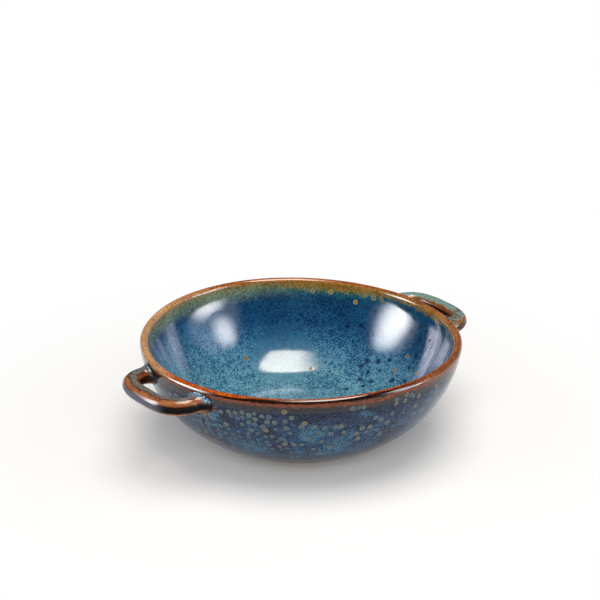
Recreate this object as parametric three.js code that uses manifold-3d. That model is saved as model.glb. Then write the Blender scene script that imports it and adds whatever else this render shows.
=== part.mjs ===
// A stoneware balti dish: a shallow round bowl on a foot ring, with a loop handle luted to each side
// and a coat of fired glaze over everything but the foot.
// Millimetres, +Z up. The origin is on the table under the middle of the bowl, and the handles lie along X.

import * as THREE from "three";
import { mergeVertices } from "three/addons/utils/BufferGeometryUtils.js";
import Module from "manifold-3d";

// Bowl, measured over its glaze
const RIM_RADIUS = 90;
const RIM_HEIGHT = 58;
const RIM_SADDLE = 1; // the lip dips this far at the handles and rises as far between them
const WALL_THICKNESS = 4.8;
const WALL_ARC_RADIUS = 65.5; // the outside of the wall is one arc from the foot to the lip
const FLOOR_THICKNESS = 6;
const FLOOR_FILLET_RADIUS = 40; // between the flat floor and the inside of the wall

// Foot ring of bare clay
const FOOT_RADIUS = 45;
const FOOT_HEIGHT = 1.6;
const FOOT_WIDTH = 5;
const FOOT_CHAMFER = 0.5;
const FOOT_STEP = 0.4; // how far the bare foot stands in from the wall above it
const RECESS_DEPTH = 2; // the hollow under the floor, inside the foot ring
const RECESS_SLOPE = 2.5; // run of the slanted side of that hollow

// Glaze coats
const GLAZE_THICKNESS = 0.6;
const GLAZE_BOND = 0.05; // clear space between a coat and its clay, and between two coats
const RIM_BAND_OUTSIDE = 5; // how far the brown coat of the lip reaches down the wall
const RIM_BAND_INSIDE = 4;

// Loop handles, measured over their glaze
const HANDLE_SPAN = 47.6; // between the middles of the two legs
const HANDLE_REACH = 15; // from the outside of the lip to the middle of the grip
const HANDLE_DROP = 9.2; // from the mean height of the lip to the middle of the grip
const HANDLE_WIDTH = 9.8; // of the grip, seen from above
const HANDLE_HEIGHT = 9.4; // of the grip, seen from the side
const HANDLE_SQUARENESS = 3.1; // exponent of the loop: 2 is an ellipse, and more is squarer
const ROOT_FLARE = 3.2; // how far the fillet of a leg spreads sideways on the wall
const ROOT_RISE = 1.4; // and how far it spreads up and down
const ROOT_LENGTH = 6; // how far that fillet runs out along the leg
const SLIP_THICKNESS = 1;
const FIT_GAP = 0.3; // clear space round a handle's clay and round its pads of slip

// Steps in the round forms
const TURN_STEPS = 48;
const WALL_STEPS = 8;
const LIP_STEPS = 6;
const INSIDE_STEPS = 5;
const FILLET_STEPS = 4;
const LOOP_STEPS = 36;
const SECTION_STEPS = 6; // in half of a handle's section
const LOOP_LENGTH_STEPS = 800; // steps in which the loop's length is measured

const wasm = await Module();
wasm.setup();

// The bowl's outline over the glaze: an outer arc, a round lip, a concentric inner arc and a floor fillet
const coatDepth = GLAZE_THICKNESS + GLAZE_BOND;
const lipRadius = WALL_THICKNESS / 2;
const lipCentre = new THREE.Vector2(RIM_RADIUS - lipRadius, RIM_HEIGHT - lipRadius);
const footEdge = new THREE.Vector2(FOOT_RADIUS, FOOT_HEIGHT);
const floorTop = RECESS_DEPTH + FLOOR_THICKNESS;
const innerRadius = WALL_ARC_RADIUS - WALL_THICKNESS;
const wallCentre = meetingOfCircles(footEdge, WALL_ARC_RADIUS, lipCentre, WALL_ARC_RADIUS - lipRadius);
const footAngle = angleFrom(wallCentre, footEdge);
const lipAngle = angleFrom(wallCentre, lipCentre);
const filletCentre = filletBetweenWallAndFloor();
const filletAngle = angleFrom(wallCentre, filletCentre);
const bandOutsideAngle = lipAngle - RIM_BAND_OUTSIDE / WALL_ARC_RADIUS;
const bandInsideAngle = lipAngle - RIM_BAND_INSIDE / innerRadius;
const outsideEdgeAngle = bandOutsideAngle - GLAZE_BOND / WALL_ARC_RADIUS;
const insideEdgeAngle = bandInsideAngle - GLAZE_BOND / innerRadius;

const wallOutside = arc(wallCentre, WALL_ARC_RADIUS, footAngle, outsideEdgeAngle, WALL_STEPS, 1);
const lip = [
  ...arc(wallCentre, WALL_ARC_RADIUS, bandOutsideAngle, lipAngle, 1, 1),
  ...arc(lipCentre, lipRadius, lipAngle, lipAngle + Math.PI, LIP_STEPS, 1).slice(1, -1),
  ...arc(wallCentre, innerRadius, lipAngle, bandInsideAngle, 1, -1),
];
const inside = [
  ...arc(wallCentre, innerRadius, insideEdgeAngle, filletAngle, INSIDE_STEPS, -1),
  ...arc(filletCentre, FLOOR_FILLET_RADIUS, filletAngle, -Math.PI / 2, FILLET_STEPS, -1).slice(1),
  { point: new THREE.Vector2(0, floorTop), out: new THREE.Vector2(0, 1) },
];

// Handle places
const handleHeight = RIM_HEIGHT - HANDLE_DROP;
const handleTip = RIM_RADIUS + HANDLE_REACH;
const legOffset = HANDLE_SPAN / 2;
const rootPlace = wallPlaceAt(legOffset, handleHeight);
const legInset = HANDLE_WIDTH; // a leg is made this much too long, and the wall trims it

// Depths from the glazed wall, outwards, of the faces at a handle's root
const slipInner = FIT_GAP - coatDepth;
const slipOuter = slipInner + SLIP_THICKNESS;
const rootEnd = slipOuter + FIT_GAP;

// Returns the crossing of two circles that lies to the left of the line from the first to the second.
function meetingOfCircles(first, firstRadius, second, secondRadius) {
  const line = second.clone().sub(first);
  const span = line.length();
  const along = (firstRadius ** 2 - secondRadius ** 2 + span ** 2) / (2 * span);
  const across = Math.sqrt(firstRadius ** 2 - along ** 2);
  line.normalize();
  const left = new THREE.Vector2(-line.y, line.x);
  return first.clone().addScaledVector(line, along).addScaledVector(left, across);
}

function angleFrom(centre, point) {
  return Math.atan2(point.y - centre.y, point.x - centre.x);
}

// The fillet's circle touches the flat floor and lies inside the inner arc of the wall.
function filletBetweenWallAndFloor() {
  const height = floorTop + FLOOR_FILLET_RADIUS;
  const reach = innerRadius - FLOOR_FILLET_RADIUS;
  const drop = wallCentre.y - height;
  return new THREE.Vector2(wallCentre.x + Math.sqrt(reach ** 2 - drop ** 2), height);
}

// How far out along X the glazed wall lies, at a distance to the side and at a height.
function wallPlaceAt(aside, height) {
  const radius = wallCentre.x + Math.sqrt(WALL_ARC_RADIUS ** 2 - (height - wallCentre.y) ** 2);
  return Math.sqrt(radius ** 2 - aside ** 2);
}

// Points along an arc of the outline, each with the direction out of the clay: facing is 1 on a bulging
// arc and -1 in a hollow one.
function arc(centre, radius, from, to, steps, facing) {
  const stations = [];
  for (let step = 0; step <= steps; step++) {
    const angle = from + ((to - from) * step) / steps;
    const ray = new THREE.Vector2(Math.cos(angle), Math.sin(angle));
    stations.push({
      point: centre.clone().addScaledVector(ray, radius),
      out: ray.clone().multiplyScalar(facing),
    });
  }
  return stations;
}

// The outline moved out of the clay by a distance, or into it by a negative one.
function offset(stations, distance) {
  return stations.map(({ point, out }) => {
    const moved = point.clone().addScaledVector(out, distance);
    moved.x = Math.max(moved.x, 0);
    return moved;
  });
}

// Turns a profile about Z, and bends the lip into its saddle above the level of the floor.
function turned(profile) {
  const geometry = new THREE.LatheGeometry(profile, TURN_STEPS);
  geometry.rotateX(Math.PI / 2);
  const place = geometry.attributes.position;
  for (let index = 0; index < place.count; index++) {
    const x = place.getX(index);
    const y = place.getY(index);
    const z = place.getZ(index);
    const rise = Math.max(0, (z - floorTop) / (RIM_HEIGHT - floorTop));
    const sway = (y ** 2 - x ** 2) / Math.max(x ** 2 + y ** 2, 1);
    place.setZ(index, z + RIM_SADDLE * sway * rise ** 2);
  }
  return geometry;
}

// A closed ring or cap of glaze over a stretch of the outline.
function coat(stations) {
  const outer = offset(stations, 0);
  const inner = offset(stations, -GLAZE_THICKNESS).reverse();
  return turned([...outer, ...inner, outer[0].clone()]);
}

// Everything within the wall's outside, moved out by a distance, with the bowl filled to its crest.
function filledBowl(distance) {
  const outerLip = arc(lipCentre, lipRadius, lipAngle, Math.PI / 2, LIP_STEPS, 1);
  const side = offset([...wallOutside, ...outerLip], distance);
  const bottom = new THREE.Vector2(0, side[0].y);
  const top = new THREE.Vector2(0, side[side.length - 1].y);
  return solidOf(turned([bottom, ...side, top]));
}

function bowlBody() {
  const clay = offset([...wallOutside, ...lip, ...inside], -coatDepth);
  const footOuter = clay[0].x - FOOT_STEP;
  const footInner = footOuter - FOOT_WIDTH;
  const ceiling = RECESS_DEPTH + coatDepth;
  const foot = [
    new THREE.Vector2(0, ceiling),
    new THREE.Vector2(footInner - RECESS_SLOPE, ceiling),
    new THREE.Vector2(footInner, FOOT_CHAMFER),
    new THREE.Vector2(footInner + FOOT_CHAMFER, 0),
    new THREE.Vector2(footOuter - FOOT_CHAMFER, 0),
    new THREE.Vector2(footOuter, FOOT_CHAMFER),
  ];
  return { geometry: turned([...foot, ...clay]), recessRadius: footInner - RECESS_SLOPE };
}

function baseCoat(radius) {
  const edge = radius - GLAZE_BOND;
  const top = RECESS_DEPTH + GLAZE_THICKNESS;
  return turned([
    new THREE.Vector2(0, RECESS_DEPTH),
    new THREE.Vector2(edge, RECESS_DEPTH),
    new THREE.Vector2(edge, top),
    new THREE.Vector2(0, top),
  ]);
}

// The middle line of the right-hand handle: a leg out of the wall, a superellipse loop and the other leg.
class HandleLoop extends THREE.Curve {
  constructor() {
    super();
    this.arcLengthDivisions = LOOP_LENGTH_STEPS;
    this.reach = handleTip - rootPlace;
    const loopLength = this.reach * 2 + HANDLE_SPAN;
    this.legShare = legInset / (loopLength + 2 * legInset);
  }

  getPoint(share, target = new THREE.Vector3()) {
    const legShare = this.legShare;
    if (share < legShare) {
      return target.set(rootPlace - legInset * (1 - share / legShare), -legOffset, handleHeight);
    }
    if (share > 1 - legShare) {
      return target.set(rootPlace - legInset * (1 - (1 - share) / legShare), legOffset, handleHeight);
    }
    const turn = Math.PI * ((share - legShare) / (1 - 2 * legShare) - 0.5);
    const power = 2 / HANDLE_SQUARENESS;
    const x = rootPlace + this.reach * Math.abs(Math.cos(turn)) ** power;
    const y = legOffset * Math.sign(turn) * Math.abs(Math.sin(turn)) ** power;
    return target.set(x, y, handleHeight);
  }
}

// An oval outline, tall by wide, as the section of a handle or of what goes round it.
function oval(tall, wide) {
  const outline = new THREE.Shape();
  outline.absellipse(0, 0, tall / 2, wide / 2, 0, 2 * Math.PI);
  return outline;
}

function handleSection(depth) {
  return oval(HANDLE_HEIGHT - 2 * depth, HANDLE_WIDTH - 2 * depth);
}

// Sweeps a section round the loop and spreads both legs in a fillet towards the wall. The fillet is reckoned
// from the glazed oval, so that the clay and its sleeve spread alike.
function swept(section) {
  const geometry = new THREE.ExtrudeGeometry(section, {
    steps: LOOP_STEPS,
    curveSegments: SECTION_STEPS,
    extrudePath: new HandleLoop(),
  });
  const place = geometry.attributes.position;
  for (let index = 0; index < place.count; index++) {
    const legY = Math.sign(place.getY(index)) * legOffset;
    const ray = new THREE.Vector2(place.getY(index) - legY, place.getZ(index) - handleHeight).normalize();
    const besideY = legY + (ray.x * HANDLE_WIDTH) / 2;
    const besideZ = handleHeight + (ray.y * HANDLE_HEIGHT) / 2;
    const fromWall = place.getX(index) - wallPlaceAt(besideY, besideZ);
    const share = THREE.MathUtils.clamp(1 - fromWall / ROOT_LENGTH, 0, 1);
    const spread = 1 - Math.sqrt(1 - share ** 2);
    place.setY(index, place.getY(index) + ROOT_FLARE * spread * ray.x);
    place.setZ(index, place.getZ(index) + ROOT_RISE * spread * ray.y);
  }
  return geometry;
}

// An oval bar along X through the wall where a leg meets it, wider than the leg's fillet by a margin.
function rootBar(side, margin) {
  const tall = HANDLE_HEIGHT + 2 * (ROOT_RISE + margin);
  const wide = HANDLE_WIDTH + 2 * (ROOT_FLARE + margin);
  const middle = new THREE.Vector3(rootPlace, side * legOffset, handleHeight);
  const half = new THREE.Vector3(legInset, 0, 0);
  const geometry = new THREE.ExtrudeGeometry(oval(tall, wide), {
    steps: 1,
    curveSegments: SECTION_STEPS,
    extrudePath: new THREE.LineCurve3(middle.clone().sub(half), middle.clone().add(half)),
  });
  return solidOf(geometry);
}

function solidOf(geometry) {
  geometry.deleteAttribute("normal");
  geometry.deleteAttribute("uv");
  const merged = mergeVertices(geometry);
  const corners = merged.index.array;
  const triVerts = [];
  for (let index = 0; index < corners.length; index += 3) {
    const [a, b, c] = corners.slice(index, index + 3);
    const onAxis = a === b || b === c || c === a;
    if (!onAxis) {
      triVerts.push(a, b, c);
    }
  }
  const vertProperties = merged.attributes.position.array;
  return new wasm.Manifold(
    new wasm.Mesh({ numProp: 3, vertProperties, triVerts: Uint32Array.from(triVerts) }),
  );
}

function geometryOf(solid) {
  const mesh = solid.getMesh();
  const geometry = new THREE.BufferGeometry();
  geometry.setAttribute("position", new THREE.BufferAttribute(mesh.vertProperties, 3));
  geometry.setIndex(new THREE.BufferAttribute(mesh.triVerts, 1));
  geometry.computeVertexNormals();
  return geometry;
}

function piece(name, geometry, finish) {
  const mesh = new THREE.Mesh(geometry, new THREE.MeshStandardMaterial(finish));
  mesh.name = name;
  return mesh;
}

// Finishes
const BARE_CLAY = { color: 0xb39b80, roughness: 0.85, metalness: 0 };
const DRIED_SLIP = { color: 0xa58d72, roughness: 0.9, metalness: 0 };
const INSIDE_BLUE = { color: 0x2d6a90, roughness: 0.12, metalness: 0 };
const OUTSIDE_BLUE = { color: 0x34507a, roughness: 0.12, metalness: 0 };
const IRON_BROWN = { color: 0x8c4f2a, roughness: 0.12, metalness: 0 };

const LEGS = { front: -1, back: 1 };

// Cuts the four windows for the handles' legs out of a coat, on the outside of the wall only.
function withWindows(geometry) {
  const wall = filledBowl(-coatDepth - FIT_GAP);
  let solid = solidOf(geometry);
  for (const side of Object.values(LEGS)) {
    const window = rootBar(side, FIT_GAP).subtract(wall);
    solid = solid.subtract(window).subtract(window.rotate([0, 0, 180]));
  }
  return geometryOf(solid);
}

// One handle with its sleeve of glaze and the two pads of slip that join it to the wall.
function handle(name, turn) {
  const group = new THREE.Group();
  group.rotation.z = turn;
  const core = solidOf(swept(handleSection(GLAZE_THICKNESS + FIT_GAP)));
  const sleeveSection = handleSection(0);
  sleeveSection.holes.push(handleSection(GLAZE_THICKNESS));
  const sleeve = solidOf(swept(sleeveSection));
  const trim = filledBowl(rootEnd);
  group.add(piece(name, geometryOf(core.subtract(trim)), BARE_CLAY));
  group.add(piece(`${name}_glaze`, geometryOf(sleeve.subtract(trim)), IRON_BROWN));
  const slipLayer = filledBowl(slipOuter).subtract(filledBowl(slipInner));
  for (const [leg, side] of Object.entries(LEGS)) {
    const sideInGroup = side * Math.cos(turn);
    const pad = rootBar(sideInGroup, 0).intersect(slipLayer);
    group.add(piece(`${name}_slip_${leg}`, geometryOf(pad), DRIED_SLIP));
  }
  return group;
}

const dish = new THREE.Group();
const body = bowlBody();
dish.add(piece("bowl_body", body.geometry, BARE_CLAY));
dish.add(piece("inside_glaze", coat(inside), INSIDE_BLUE));
dish.add(piece("outside_glaze", withWindows(coat(wallOutside)), OUTSIDE_BLUE));
dish.add(piece("rim_glaze", withWindows(coat(lip)), IRON_BROWN));
dish.add(piece("base_glaze", baseCoat(body.recessRadius), OUTSIDE_BLUE));
dish.add(handle("handle_right", 0));
dish.add(handle("handle_left", Math.PI));

export default dish;
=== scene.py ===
"""Looks of a glazed stoneware balti dish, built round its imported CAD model.

Forms are reckoned in millimetres, in the CAD model's own frame, and become metres when a mesh is made.
"""
import logging
import math
import random
from collections.abc import Sequence
from dataclasses import dataclass, field, replace
from enum import Enum
from functools import reduce

import bmesh
import bpy
import numpy as np
from mathutils import Matrix, Vector


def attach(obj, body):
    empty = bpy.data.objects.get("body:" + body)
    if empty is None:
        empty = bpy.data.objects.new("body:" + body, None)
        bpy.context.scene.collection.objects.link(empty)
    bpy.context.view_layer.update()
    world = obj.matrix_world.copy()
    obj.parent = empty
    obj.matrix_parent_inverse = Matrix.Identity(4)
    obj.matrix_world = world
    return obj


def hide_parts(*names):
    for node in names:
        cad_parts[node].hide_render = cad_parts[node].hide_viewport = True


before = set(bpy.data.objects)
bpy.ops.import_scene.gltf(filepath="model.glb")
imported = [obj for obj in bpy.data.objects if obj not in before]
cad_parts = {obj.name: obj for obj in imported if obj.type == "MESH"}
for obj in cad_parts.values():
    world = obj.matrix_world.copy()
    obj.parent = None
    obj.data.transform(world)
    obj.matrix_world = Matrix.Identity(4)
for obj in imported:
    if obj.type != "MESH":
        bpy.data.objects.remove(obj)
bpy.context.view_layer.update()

LOG = logging.getLogger("balti_dish")
MM = 0.001
BODY = "root"
SHARP_EDGE = math.radians(48)
ABOVE = Vector((0, 0, 1))
ON_AXIS = 1e-6  # millimetres: a point nearer to the axis than this lies on it

# What the corners of a mesh tell its finish.
RUN = "rim_run"  # millimetres from the crest of the lip: down the outside, and below 0 down the inside
TURN = "wall_turn"  # degrees about the axis, 0 to 360
REFLECTION_STREAK = "reflection_streak"  # 0 to 1: how strongly a painted reflection streak shows
RING = "bead_ring"  # 0 in the middle of a bead, 1 at its edge
TONE = "bead_tone"  # 0 for a dark bead, 1 for a bright rusty one, above 1 for one with a pale ring
UP_SIDE = "up_side"  # 1 on top of a handle, -1 underneath
OUT_SIDE = "out_side"  # 1 on the outer side of a handle, -1 on the inner side
NEAR_ROOT = "root"  # 0 on the grip of a handle, 1 at the wall

# Places on the dish, in metres, and directions.
LEG_ROOT = (0.085, 0.025, 0.046)  # where a leg of a handle meets the wall
CALM = (0.031, 0.055, 0.017)  # where the glaze lies calm, low on the inside
FRONT = (-0.613, -0.79, 0.0)  # towards the side that the photo shows
RIGHT = (0.79, -0.613, 0.0)
GREEN_SIDE = (-0.6, 0.8, 0.0)  # where the band under the lip is greenest
THIN_SIDE = (-0.8, 0.6, 0.0)  # where the glaze ran thinnest down the inside
NEAR_LEG = (0.0, -1.0, 0.0)  # towards the leg of a handle that stands in front

Socket = bpy.types.NodeSocket
Tint = tuple[float, float, float]
Number = Socket | float
Value = Socket | float | Tint
Span = tuple[float, float]
Faces = list[tuple[int, ...]]


def tint(red: int, green: int, blue: int) -> Tint:
    """Returns the shader's red, green and blue for a colour as it looks on a screen, 0 to 255 each."""
    levels = (red / 255, green / 255, blue / 255)
    return tuple(level / 12.92 if level <= 0.04045 else ((level + 0.055) / 1.055) ** 2.4 for level in levels)


class Leg(Enum):
    """The two legs of a handle, by the side of the dish that they stand on."""

    FRONT = -1
    BACK = 1


class Side(Enum):
    """The two sides of the bowl's wall."""

    INSIDE = -1
    OUTSIDE = 1


class Seen(Enum):
    """How the dish sees a lamp."""

    ALL = "in its colours and in its gloss"
    GLOSS = "in its gloss alone"
    COLOUR = "in its colours alone"


class Face(Enum):
    """Shape of a lamp's face."""

    ROUND = "ELLIPSE"
    BLUNT = "RECTANGLE"


class Maths(Enum):
    """Ways to put two numbers together in a node tree."""

    PLUS = "ADD"
    TIMES = "MULTIPLY"
    GREATER = "MAXIMUM"
    POWER = "POWER"
    UNSIGNED = "ABSOLUTE"


@dataclass
class Outline:
    """Stations along the bowl's outline, in order from the foot over the lip to the middle of the floor."""

    place: np.ndarray
    out: np.ndarray
    run: np.ndarray

    def part(self, first: int, last: int) -> "Outline":
        """Returns the stations from first to last, both included."""
        return Outline(*(numbers[first : last + 1] for numbers in (self.place, self.out, self.run)))

    def moved(self, distance: np.ndarray | float) -> np.ndarray:
        """Returns the places moved out of the clay by a distance, or by one for each, none past the axis."""
        places = self.place + self.out * np.broadcast_to(distance, len(self.run))[:, None]
        return np.maximum(places, (0, -np.inf))


@dataclass
class BowlForm:
    """The glazed bowl: an outer arc, a round lip, a concentric inner arc, a fillet and a flat floor."""

    rim_radius: float = 90.0
    rim_height: float = 58.0
    rim_saddle: float = 1.0
    wall: float = 4.8
    wall_arc: float = 65.5
    foot_radius: float = 45.0
    foot_height: float = 1.6
    floor_top: float = 8.0
    floor_fillet: float = 40.0
    band_outside: float = 5.0
    band_inside: float = 4.0
    pool_depth: float = 1.1
    pool_runs: tuple[float, float, float] = (3.0, 30.0, 66.0)
    full_side: float = -37.8
    off_centre: float = 0.6
    oval: float = 0.35
    hand_wave: float = 0.04
    turn_steps: int = 288
    wall_steps: int = 52
    lip_steps: int = 22
    inside_steps: int = 44
    fillet_steps: int = 34
    floor_steps: int = 26
    settle_steps: int = 4

    def __post_init__(self) -> None:
        """Finds the centres of the arcs."""
        lip = self.wall / 2
        self.lip_centre = np.array([self.rim_radius - lip, self.rim_height - lip])
        foot = np.array([self.foot_radius, self.foot_height])
        line = self.lip_centre - foot
        span = float(np.hypot(*line))
        along = (self.wall_arc**2 - (self.wall_arc - lip) ** 2 + span**2) / (2 * span)
        across = math.sqrt(self.wall_arc**2 - along**2)
        line = line / span
        self.centre = foot + line * along + np.array([-line[1], line[0]]) * across
        self.inner_arc = self.wall_arc - self.wall
        self.foot_angle = self.angle_of(foot)
        self.lip_angle = self.angle_of(self.lip_centre)
        height = self.floor_top + self.floor_fillet
        reach = self.inner_arc - self.floor_fillet
        radius = self.centre[0] + math.sqrt(reach**2 - (self.centre[1] - height) ** 2)
        self.fillet_centre = np.array([radius, height])
        self.outline, self.marks = self.stations()

    def angle_of(self, place: np.ndarray) -> float:
        """Returns the angle of a place as seen from the centre of the wall's arcs."""
        return math.atan2(place[1] - self.centre[1], place[0] - self.centre[0])

    def stations(self) -> tuple[Outline, tuple[int, int, int]]:
        """Lays out the whole outline.

        Returns:
            The outline, and the stations where the outside ends, the lip ends and the inside ends.
        """
        outside_end = self.lip_angle - self.band_outside / self.wall_arc
        inside_start = self.lip_angle - self.band_inside / self.inner_arc
        fillet = self.angle_of(self.fillet_centre)
        arcs = (
            (self.centre, self.wall_arc, self.foot_angle, outside_end, self.wall_steps, 1),
            (self.centre, self.wall_arc, outside_end, self.lip_angle, self.lip_steps // 2, 1),
            (self.lip_centre, self.wall / 2, self.lip_angle, self.lip_angle + math.pi, self.lip_steps, 1),
            (self.centre, self.inner_arc, self.lip_angle, inside_start, self.lip_steps // 2, -1),
            (self.centre, self.inner_arc, inside_start, fillet, self.inside_steps, -1),
            (self.fillet_centre, self.floor_fillet, fillet, -math.pi / 2, self.fillet_steps, -1),
        )
        places, outs, ends = [], [], []
        for centre, radius, start, end, steps, facing in arcs:
            for step in range(1 if places else 0, steps + 1):
                angle = start + (end - start) * step / steps
                ray = np.array([math.cos(angle), math.sin(angle)])
                places.append(centre + ray * radius)
                outs.append(ray * facing)
            ends.append(len(places) - 1)
        for step in range(1, self.floor_steps + 1):
            places.append(np.array([self.fillet_centre[0] * (1 - step / self.floor_steps), self.floor_top]))
            outs.append(np.array([0.0, 1.0]))
        place = np.array(places)
        length = np.concatenate([[0], np.cumsum(np.hypot(*np.diff(place, axis=0).T))])
        run = length[int(place[:, 1].argmax())] - length
        return Outline(place, np.array(outs), run), (ends[0], ends[3], len(places) - 1)

    def pooled(self, run: np.ndarray | float) -> np.ndarray | float:
        """Finds how much thicker the glaze lies half way down the inside, where it ran together.

        Args:
            run: Distance from the crest of the lip, below 0 down the inside.

        Returns:
            The extra thickness.
        """
        start, full, end = self.pool_runs
        rise = np.clip((-run - start) / (full - start), 0, 1)
        fall = np.clip((end + run) / (end - full), 0, 1)
        return self.pool_depth * rise**2 * (3 - 2 * rise) * fall**2 * (3 - 2 * fall)

    def wave(self, turn: np.ndarray | float, height: np.ndarray | float) -> np.ndarray | float:
        """Finds how far the hand-finished wall stands out from a true round.

        Args:
            turn: Angle about the axis.
            height: Height above the table.

        Returns:
            The distance, which dies out towards the foot.
        """
        rise = np.clip((height - self.floor_top) / (self.rim_height - self.floor_top), 0, 1)
        side = turn - math.radians(self.full_side)
        slow = self.off_centre * np.cos(side) + self.oval * np.cos(2 * side)
        quick = np.sin(11 * turn + 0.09 * height + 1.3) + 0.7 * np.sin(17 * turn - 0.13 * height)
        return rise * (slow + self.hand_wave * quick)

    def saddle(self, turn: np.ndarray | float, height: np.ndarray | float) -> np.ndarray | float:
        """Returns how far the saddle of the lip lifts a point of the bowl."""
        rise = np.maximum(0, (height - self.floor_top) / (self.rim_height - self.floor_top))
        return -self.rim_saddle * np.cos(2 * turn) * rise**2

    def bent(self, radius: np.ndarray, height: np.ndarray, turn: np.ndarray) -> np.ndarray:
        """Returns points of the round outline, one row each, as they lie on the finished bowl."""
        wide = radius + self.wave(turn, height) * np.minimum(1, radius / self.foot_radius)
        return np.stack([wide * np.cos(turn), wide * np.sin(turn), height + self.saddle(turn, height)], -1)

    def wall_place(self, aside: float, height: float) -> float:
        """Finds the glazed wall beside a handle.

        Args:
            aside: Distance to the side of the handle's middle.
            height: Height above the table.

        Returns:
            How far out along X the wall lies.
        """
        radius = self.rim_radius
        for _ in range(self.settle_steps):
            turn = math.asin(max(-1.0, min(1.0, aside / radius)))
            level = height - self.saddle(turn, height)
            radius = self.centre[0] + math.sqrt(self.wall_arc**2 - (level - self.centre[1]) ** 2)
            radius += self.wave(turn, level)
        return math.sqrt(radius**2 - aside**2)

    def on_wall(self, side: Side, run: float, turn: float, lift: float) -> np.ndarray:
        """Finds a point on the glazed wall.

        Args:
            side: Side of the wall.
            run: Millimetres down from the crest of the lip.
            turn: Angle about the axis.
            lift: Height above the glaze.

        Returns:
            The point.
        """
        runs = self.outline.run * side.value
        order = np.argsort(runs)
        raised = self.outline.place + self.outline.out * (lift + self.pooled(self.outline.run))[:, None]
        radius, height = (np.array(np.interp(run, runs[order], raised[order, k])) for k in (0, 1))
        return self.bent(radius, height, np.array(turn))


def make_piece(name: str, points: np.ndarray, faces: Faces,
               values: dict[str, np.ndarray] | None = None) -> bpy.types.Object:
    """Makes a closed mesh piece that rides on the dish.

    Args:
        name: Name of the piece.
        points: Corners, in millimetres.
        faces: Corner numbers of each face.
        values: Numbers per corner that a finish reads, by name.

    Returns:
        The new object.
    """
    mesh = bpy.data.meshes.new(name)
    mesh.from_pydata((np.asarray(points) * MM).tolist(), [], faces)
    for key, numbers in (values or {}).items():
        layer = mesh.attributes.new(key, "FLOAT", "POINT")
        layer.data.foreach_set("value", np.asarray(numbers, dtype=np.float32))
    shaper = bmesh.new()
    shaper.from_mesh(mesh)
    bmesh.ops.recalc_face_normals(shaper, faces=shaper.faces)
    shaper.to_mesh(mesh)
    shaper.free()
    mesh.polygons.foreach_set("use_smooth", [True] * len(mesh.polygons))
    mesh.set_sharp_from_angle(angle=SHARP_EDGE)
    piece = bpy.data.objects.new(name, mesh)
    bpy.context.scene.collection.objects.link(piece)
    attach(piece, BODY)
    return piece


def grid_faces(rows: Sequence[Sequence[int]], closed: bool) -> Faces:
    """Joins rows of corner numbers by faces; each row closes on itself.

    Args:
        rows: Corner numbers, row by row, all of one length.
        closed: Whether the last row joins the first.

    Returns:
        The faces, with corners that coincide left out.
    """
    faces = []
    count = len(rows)
    for index in range(count if closed else count - 1):
        here, there = rows[index], rows[(index + 1) % count]
        for step in range(len(here)):
            after = (step + 1) % len(here)
            corners = tuple(dict.fromkeys((here[step], here[after], there[after], there[step])))
            if len(corners) > 2:
                faces.append(corners)
    return faces


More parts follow.
